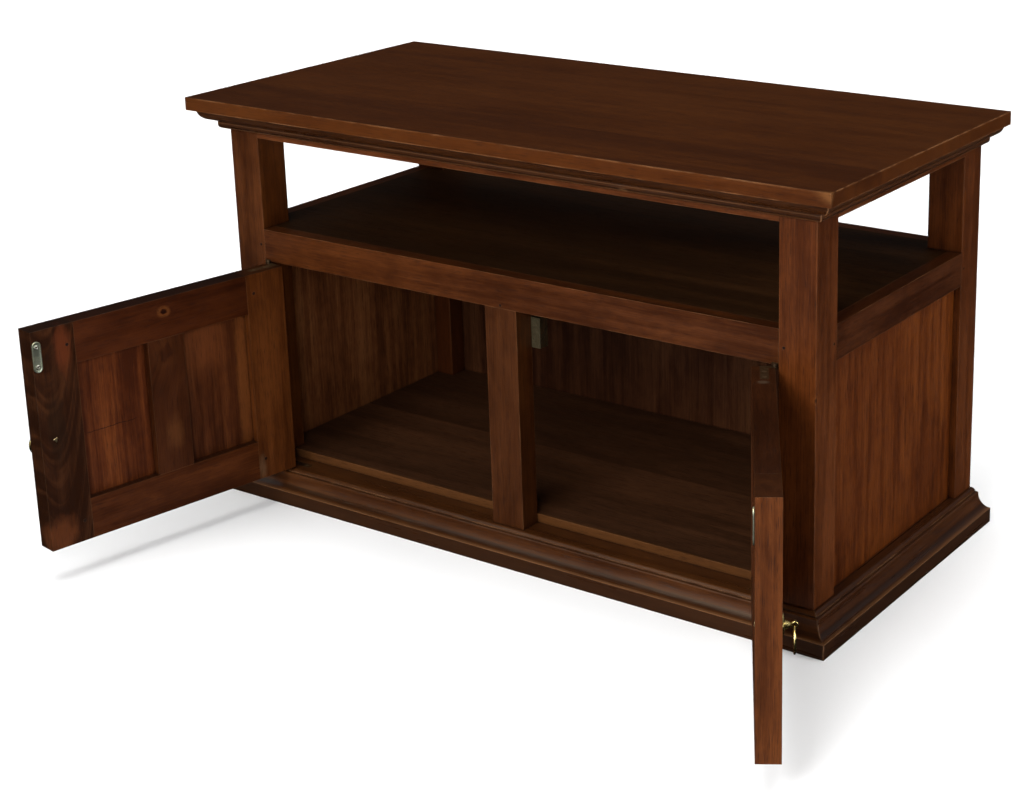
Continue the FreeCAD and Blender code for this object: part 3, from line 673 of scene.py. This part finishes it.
def ease_edges(node):
    """Rubs down a board's sharp edges, which leaves a fine line where two boards meet flush."""
    easing = bpy.data.objects[node].modifiers.new("eased_edges", "BEVEL")
    easing.width = EASED_EDGE
    easing.segments = 2
    easing.limit_method = "ANGLE"
    easing.angle_limit = EASED_ANGLE


def paint_wood():
    """Gives each board its own wood, on its own seed, and eases its edges."""
    marks = features()
    seed = 0.0
    for node, (look, grain, board) in CARCASS_WOOD.items():
        seed += SEED_STEP
        wear_and_sheen = MUCH_WEAR_AND_SHEEN if look in ("top", "moulding") else SOME_WEAR
        material = wood("wood_" + node, look, grain, 0.0, seed, board, TONES.get(node, PLAIN),
                        wear_and_sheen, **marks.get(node, {}))
        paint(node, material)
        ease_edges(node)
    for side in SIDES:
        for piece, (look, grain) in DOOR_WOOD.items():
            seed += SEED_STEP
            node = piece + "_" + side
            material = wood("wood_" + node, look, grain, door_turn(side), seed, None,
                            TONES.get(node, PLAIN), LITTLE_WEAR, painted_shade_on_top=True,
                            **marks.get(node, {}))
            paint(node, material)
            ease_edges(node)


def end_grain():
    """Peg ends: dark, with fine speckled pores."""
    shader = Shader("wood_pegs")
    place = shader.local()
    speckle = shader.noise(place, 1400.0, 2.0)
    rings = shader.noise(place, 260.0, 3.0, distort=0.8)
    colour = shader.ramp(rings, [(0.3, (0.004, 0.0014, 0.0007)), (0.7, (0.012, 0.0040, 0.0016))])
    colour = shader.mix(shader.range(speckle, 0.55, 0.7, 0.0, 0.6), colour, PORE)
    shader.link(colour, shader.surface.inputs["Base Color"])
    shader.surface.inputs["Roughness"].default_value = 0.55
    shader.surface.inputs["Specular IOR Level"].default_value = 0.16
    shader.link(shader.bump(speckle, 0.4, 0.1 * MM), shader.surface.inputs["Normal"])
    return shader.material


# ---- metals ----
def metal(name, clean, dull, rough, tarnish, brushed=None):
    """Metal with tarnish in patches, fine scratches and uneven polish."""
    shader = Shader(name)
    place = shader.local()
    patches = shader.noise(place, 160.0, 4.0, 0.6)
    specks = shader.noise(place, 1500.0, 2.0)
    mask = shader.range(patches, 0.42, 0.70, 0.0, tarnish)
    colour = shader.mix(mask, clean, dull)
    shader.link(colour, shader.surface.inputs["Base Color"])
    shader.surface.inputs["Metallic"].default_value = 1.0
    scratch = specks
    if brushed:
        axes = shader.separate(place)
        scratch = shader.noise(shader.combine(*[shader.math("MULTIPLY", axis, amount)
                                                for axis, amount in zip(axes, brushed)]), 1.0, 2.0)
    roughness = shader.math("MULTIPLY_ADD", scratch, GLOSS_SWING)
    roughness.node.inputs[2].default_value = rough - GLOSS_SWING / 2
    roughness = shader.math("ADD", roughness, shader.math("MULTIPLY", mask, 0.2))
    shader.link(roughness, shader.surface.inputs["Roughness"])
    shader.link(shader.bump(scratch, 0.12, 0.05 * MM), shader.surface.inputs["Normal"])
    return shader.material


# ---- small metal pieces built over the CAD ones ----
STRIKE_SCREW_PITCH = 26.0 * MM
STRIKE_DISH = 0.9 * MM
PAN_HEAD_RADIUS = 2.9 * MM
PAN_HEAD_HEIGHT = 1.12 * MM
PAN_HEAD_SEGMENTS = 32
PAN_HEAD_PROFILE = ((1.0, 0.0), (1.0, 0.72), (0.95, 0.88), (0.72, 0.97), (0.42, 1.0),
                    (0.36, 0.55), (0.10, 0.35))
CROSS_SHARE = 0.5
SHANK_WIDTH = 2.6 * MM
SHANK_HEIGHT = 3.0 * MM
SHANK_SEGMENTS = 28
SHANK_PROFILE = ((1.0, -0.2), (1.0, 0.25), (0.8, 0.55), (0.45, 0.6), (0.15, 0.35))
RING_SEGMENTS = 64
RING_THIN = 0.62
WIRE_FLATTENED = 0.9
WIRE_SEGMENTS = 16
ROUND_END_STEPS = 12


def mesh_piece(name, points, faces, material):
    """A smooth-shaded piece made from points and faces."""
    mesh = bpy.data.meshes.new(name)
    mesh.from_pydata([tuple(point) for point in points], [], faces)
    mesh.update()
    thing = bpy.data.objects.new(name, mesh)
    bpy.context.collection.objects.link(thing)
    work = bmesh.new()
    work.from_mesh(mesh)
    bmesh.ops.recalc_face_normals(work, faces=work.faces)
    work.to_mesh(mesh)
    work.free()
    for face in mesh.polygons:
        face.use_smooth = True
    mesh.materials.append(material)
    return thing


def stacked(loops):
    """The closed skin over a stack of equal loops, capped at both ends."""
    count = len(loops[0])
    points = [point for loop in loops for point in loop]
    faces = []
    for row in range(len(loops) - 1):
        for column in range(count):
            after = (column + 1) % count
            faces.append((row * count + column, row * count + after,
                          (row + 1) * count + after, (row + 1) * count + column))
    faces.append(tuple(range(count)))
    faces.append(tuple(range((len(loops) - 1) * count, len(loops) * count)))
    return points, faces


def swelled_ring(side):
    """The pull's ring: its wire is thick at the sides and thin where it hangs and at the foot."""
    joint = ring_joint(side)
    pivot = Vector(joint["pos_m"])
    across = Vector(joint["axis"]).normalized()
    low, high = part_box("pull_ring_" + side)
    wire_middle = high.z - pivot.z
    radius = (high.z - low.z) / 2 - wire_middle
    centre = pivot - Vector((0.0, 0.0, radius))
    through = across.cross(Vector((0.0, 0.0, 1.0)))
    points = []
    faces = []
    for step in range(RING_SEGMENTS):
        angle = 2 * math.pi * step / RING_SEGMENTS
        out = across * math.sin(angle) + Vector((0.0, 0.0, math.cos(angle)))
        wire = wire_middle * (RING_THIN + (1.0 - RING_THIN) * math.sin(angle) ** 2)
        for turn in range(WIRE_SEGMENTS):
            around = 2 * math.pi * turn / WIRE_SEGMENTS
            points.append(centre + out * (radius + wire * math.cos(around) * WIRE_FLATTENED)
                          + through * (wire * math.sin(around)))
            after = (turn + 1) % WIRE_SEGMENTS
            onward = (step + 1) % RING_SEGMENTS
            faces.append((step * WIRE_SEGMENTS + turn, step * WIRE_SEGMENTS + after,
                          onward * WIRE_SEGMENTS + after, onward * WIRE_SEGMENTS + turn))
    ring = mesh_piece("swelled_ring_" + side, points, faces, BRASS)
    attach(ring, "ring_" + side)
    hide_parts("pull_ring_" + side)


def obround(centre, half_width, half_height, depth, inset):
    """A loop with straight sides and round ends, in an upright plane."""
    radius = half_width - inset
    straight = half_height - half_width
    loop = []
    for end, start in ((1, 0.0), (-1, math.pi)):
        for step in range(ROUND_END_STEPS + 1):
            angle = start + math.pi * step / ROUND_END_STEPS
            loop.append(Vector((centre.x + radius * math.cos(angle), depth,
                                centre.z + end * straight + radius * math.sin(angle))))
    return loop


def pan_head(name, centre, turn, body):
    """A low domed screw head with a cross cut in it; centre is on the face that it sits on."""
    loops = []
    for share, rise in PAN_HEAD_PROFILE:
        loop = []
        for step in range(PAN_HEAD_SEGMENTS):
            angle = 2 * math.pi * step / PAN_HEAD_SEGMENTS
            pinch = 1.0
            if share < CROSS_SHARE:
                pinch = 0.55 + 0.45 * abs(math.cos(2 * angle)) ** 3
            reach = PAN_HEAD_RADIUS * share * pinch
            loop.append(Vector((centre.x + reach * math.cos(angle),
                                centre.y + rise * PAN_HEAD_HEIGHT,
                                centre.z + reach * math.sin(angle))))
        loops.append([Matrix.Rotation(turn, 3, "Z") @ point for point in loop])
    points, faces = stacked(loops)
    head = mesh_piece(name, points, faces, SCREW)
    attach(head, body)


def dished_strike(side):
    """The strike plate: a raised rim round a sunk face, held by two screws."""
    turn = door_turn(side)
    low, high = turned_box("strike_plate_" + side, turn)
    centre = (low + high) / 2
    half_width = (high.x - low.x) / 2
    half_height = (high.z - low.z) / 2
    sunk = high.y - STRIKE_DISH
    loops = [obround(centre, half_width, half_height, depth, inset) for depth, inset in (
        (low.y, 0.0), (high.y - 0.35 * MM, 0.0), (high.y - 0.1 * MM, 0.12 * MM),
        (high.y, 0.4 * MM), (high.y, 1.1 * MM), (high.y - 0.12 * MM, 1.35 * MM),
        (sunk + 0.1 * MM, 1.65 * MM), (sunk, 1.95 * MM))]
    back = Matrix.Rotation(turn, 3, "Z")
    points, faces = stacked([[back @ point for point in loop] for loop in loops])
    plate = mesh_piece("dished_strike_" + side, points, faces, NICKEL)
    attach(plate, "door_" + side)
    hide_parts("strike_plate_" + side)
    for row, way in (("upper", 1), ("lower", -1)):
        middle = Vector((centre.x, sunk, centre.z + way * STRIKE_SCREW_PITCH / 2))
        pan_head("strike_screw_" + row + "_" + side, middle, turn, "door_" + side)


def peened_shank(side):
    """The pull's shank end, hammered over unevenly on the door's inner face."""
    turn = door_turn(side)
    joint = ring_joint(side)
    pull = Matrix.Rotation(-turn, 3, "Z") @ Vector(joint["pos_m"])
    high = turned_box("door_free_stile_" + side, turn)[1]
    loops = []
    for share, rise in SHANK_PROFILE:
        loop = []
        for step in range(SHANK_SEGMENTS):
            angle = 2 * math.pi * step / SHANK_SEGMENTS
            ragged = 1.0 + 0.28 * math.sin(3 * angle + 0.6) + 0.16 * math.sin(7 * angle)
            loop.append(Vector((pull.x + SHANK_WIDTH * share * ragged * math.cos(angle),
                                high.y + rise * MM,
                                pull.z + SHANK_HEIGHT * share * ragged * math.sin(angle))))
        loops.append([Matrix.Rotation(turn, 3, "Z") @ point for point in loop])
    points, faces = stacked(loops)
    shank = mesh_piece("peened_shank_" + side, points, faces, DULL_BRASS)
    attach(shank, "door_" + side)


# ---- floor, light and camera ----
# The photograph's view: azimuth, elevation and roll in degrees, the distance in metres, and the aim
# as shares of the top's width and of the height.
CAMERA_ANGLES = (33.67, 16.47, -0.77)
CAMERA_DISTANCE = 2.366
CAMERA_AIM_X = 0.2476
CAMERA_AIM_Z = 0.803
CAMERA_SENSOR = 36.0
CAMERA_LENS = 68.93
CAMERA_SHIFT = (-0.138, -0.145)
LIGHT_DISTANCE = 3.0
# Each light: azimuth round from the front, elevation and width in degrees, and strength.
FLOOR_LIGHT = (0.0, 89.0, 50.0, 2.6)
GLOSS_LIGHT = (-12.0, 66.0, 16.0, 4.0)
GLOSS_COLOUR = (1.0, 0.80, 0.52)
SKY_LIGHTS = {"key": (-4.0, 36.0, 26.0, 1.0), "side": (104.0, 24.0, 30.0, 1.45),
              "fill": (12.0, 12.0, 40.0, 0.88)}
NEAR_LIGHT_PLACE = Vector((0.55 * TOP_WIDTH, FRONT - 1.25, 0.90))
NEAR_LIGHT_SIZE = 0.6
NEAR_LIGHT_POWER = 12.0
SKY_LOW = (0.45, (0.012, 0.012, 0.012, 1.0))
SKY_HIGH = (0.95, (0.70, 0.70, 0.70, 1.0))


def pale_floor():
    """A pale floor with its own light, so that it stays near white."""
    bpy.ops.mesh.primitive_plane_add(size=40.0, location=(0.0, 0.0, 0.0))
    floor = bpy.context.object
    floor.name = "studio_floor"
    shader = Shader("studio_floor")
    tone = shader.noise(shader.local(), 3.0, 3.0)
    shader.link(shader.ramp(tone, [(0.3, (0.80, 0.80, 0.80)), (0.7, (0.82, 0.82, 0.82))]),
                shader.surface.inputs["Base Color"])
    shader.surface.inputs["Roughness"].default_value = 0.9
    shader.surface.inputs["Specular IOR Level"].default_value = 0.0
    floor.data.materials.append(shader.material)
    floor.visible_glossy = False
    only_floor = bpy.data.collections.new("only_floor")
    only_floor.objects.link(floor)
    lamp = sky_light("floor_light", *FLOOR_LIGHT)
    lamp.light_linking.receiver_collection = only_floor


def sky_light(name, azimuth, elevation, spread, strength):
    """A very broad, even light from one way round, like a big soft box far off."""
    a, e = math.radians(azimuth), math.radians(elevation)
    way = Vector((math.sin(a) * math.cos(e), -math.cos(a) * math.cos(e), math.sin(e)))
    data = bpy.data.lights.new(name, "SUN")
    data.angle = math.radians(spread)
    data.energy = strength
    light = bpy.data.objects.new(name, data)
    bpy.context.collection.objects.link(light)
    light.location = way * LIGHT_DISTANCE
    light.rotation_mode = "QUATERNION"
    light.rotation_quaternion = (-way).to_track_quat("-Z", "Y")
    return light


def near_light():
    """A square soft box in front of the stand's right end, aimed at its middle."""
    data = bpy.data.lights.new("near", "AREA")
    data.shape = "SQUARE"
    data.size = NEAR_LIGHT_SIZE
    data.energy = NEAR_LIGHT_POWER
    light = bpy.data.objects.new("near", data)
    bpy.context.collection.objects.link(light)
    light.location = NEAR_LIGHT_PLACE
    way = Vector((0.0, 0.0, HEIGHT / 2)) - NEAR_LIGHT_PLACE
    light.rotation_mode = "QUATERNION"
    light.rotation_quaternion = way.to_track_quat("-Z", "Y")


def studio_world():
    """A surround that looks white and lights the stand almost only from overhead."""
    world = bpy.data.worlds.new("studio")
    bpy.context.scene.world = world
    world.use_nodes = True
    tree = world.node_tree
    tree.nodes.clear()
    output = tree.nodes.new("ShaderNodeOutputWorld")
    seen = tree.nodes.new("ShaderNodeBackground")
    seen.inputs["Color"].default_value = (1.0, 1.0, 1.0, 1.0)
    lit = tree.nodes.new("ShaderNodeBackground")
    coordinates = tree.nodes.new("ShaderNodeTexCoord")
    axes = tree.nodes.new("ShaderNodeSeparateXYZ")
    ramp = tree.nodes.new("ShaderNodeValToRGB")
    for element, (position, colour) in zip(ramp.color_ramp.elements, (SKY_LOW, SKY_HIGH)):
        element.position = position
        element.color = colour
    path = tree.nodes.new("ShaderNodeLightPath")
    mix = tree.nodes.new("ShaderNodeMixShader")
    tree.links.new(coordinates.outputs["Generated"], axes.inputs[0])
    tree.links.new(axes.outputs["Z"], ramp.inputs[0])
    tree.links.new(ramp.outputs[0], lit.inputs["Color"])
    tree.links.new(path.outputs["Is Camera Ray"], mix.inputs[0])
    tree.links.new(lit.outputs[0], mix.inputs[1])
    tree.links.new(seen.outputs[0], mix.inputs[2])
    tree.links.new(mix.outputs[0], output.inputs["Surface"])


def photograph_camera():
    """The camera stands to the right and a little above, with a long lens."""
    azimuth, elevation, roll = (math.radians(angle) for angle in CAMERA_ANGLES)
    aim = Vector((CAMERA_AIM_X * TOP_WIDTH, FRONT, CAMERA_AIM_Z * HEIGHT))
    data = bpy.data.cameras.new("camera")
    data.sensor_width = CAMERA_SENSOR
    data.lens = CAMERA_LENS
    data.shift_x, data.shift_y = CAMERA_SHIFT
    back = Vector((math.sin(azimuth) * math.cos(elevation),
                   -math.cos(azimuth) * math.cos(elevation), math.sin(elevation)))
    camera = bpy.data.objects.new("camera", data)
    bpy.context.collection.objects.link(camera)
    right = Vector((math.cos(azimuth), math.sin(azimuth), 0.0))
    up = back.cross(right)
    turned_right = math.cos(roll) * right + math.sin(roll) * up
    turned_up = back.cross(turned_right)
    axes = Matrix((turned_right, turned_up, back)).transposed().to_4x4()
    camera.matrix_world = Matrix.Translation(aim + back * CAMERA_DISTANCE) @ axes
    bpy.context.scene.camera = camera


scene = bpy.context.scene
scene.view_settings.view_transform = "Standard"
photograph_camera()
pale_floor()
studio_world()
for name, setting in SKY_LIGHTS.items():
    sky_light(name, *setting)
gloss = sky_light("gloss", *GLOSS_LIGHT)
gloss.data.color = GLOSS_COLOUR
gloss.visible_diffuse = False
near_light()
paint_wood()

BRASS = metal("brass", (0.56, 0.46, 0.19), (0.26, 0.19, 0.07), 0.20, 0.6)
DULL_BRASS = metal("dull_brass", (0.40, 0.32, 0.18), (0.10, 0.07, 0.03), 0.35, 0.9)
NICKEL = metal("nickel", (0.42, 0.46, 0.36), (0.26, 0.28, 0.19), 0.42, 0.7, (60.0, 60.0, 1500.0))
HINGE = metal("hinge_steel", (0.090, 0.060, 0.035), (0.035, 0.020, 0.012), 0.45, 0.8)
SCREW = metal("screw_steel", (0.60, 0.60, 0.52), (0.20, 0.18, 0.14), 0.36, 0.5)
HINGE_SCREW = metal("hinge_screw_steel", (0.150, 0.110, 0.070), (0.050, 0.032, 0.020), 0.45, 0.7)
CATCH = metal("catch_bronze", (0.52, 0.45, 0.26), (0.12, 0.09, 0.05), 0.34, 0.7)
PEG = end_grain()
for node in ("carcass_pegs", "door_pegs_left", "door_pegs_right"):
    paint(node, PEG)
for node in ("carcass_screws", "case_screws", "door_screws_left", "door_screws_right"):
    paint(node, HINGE_SCREW)
for node in ("hinge_case_leaves", "hinge_door_leaves_left", "hinge_door_leaves_right"):
    paint(node, HINGE)
paint("magnetic_catches", CATCH)
for side in SIDES:
    for piece in ("pull_rosette_", "pull_eye_"):
        paint(piece + side, BRASS)
    paint("strike_plate_" + side, NICKEL)
    paint("pull_ring_" + side, BRASS)
    swelled_ring(side)
    dished_strike(side)
    peened_shank(side)
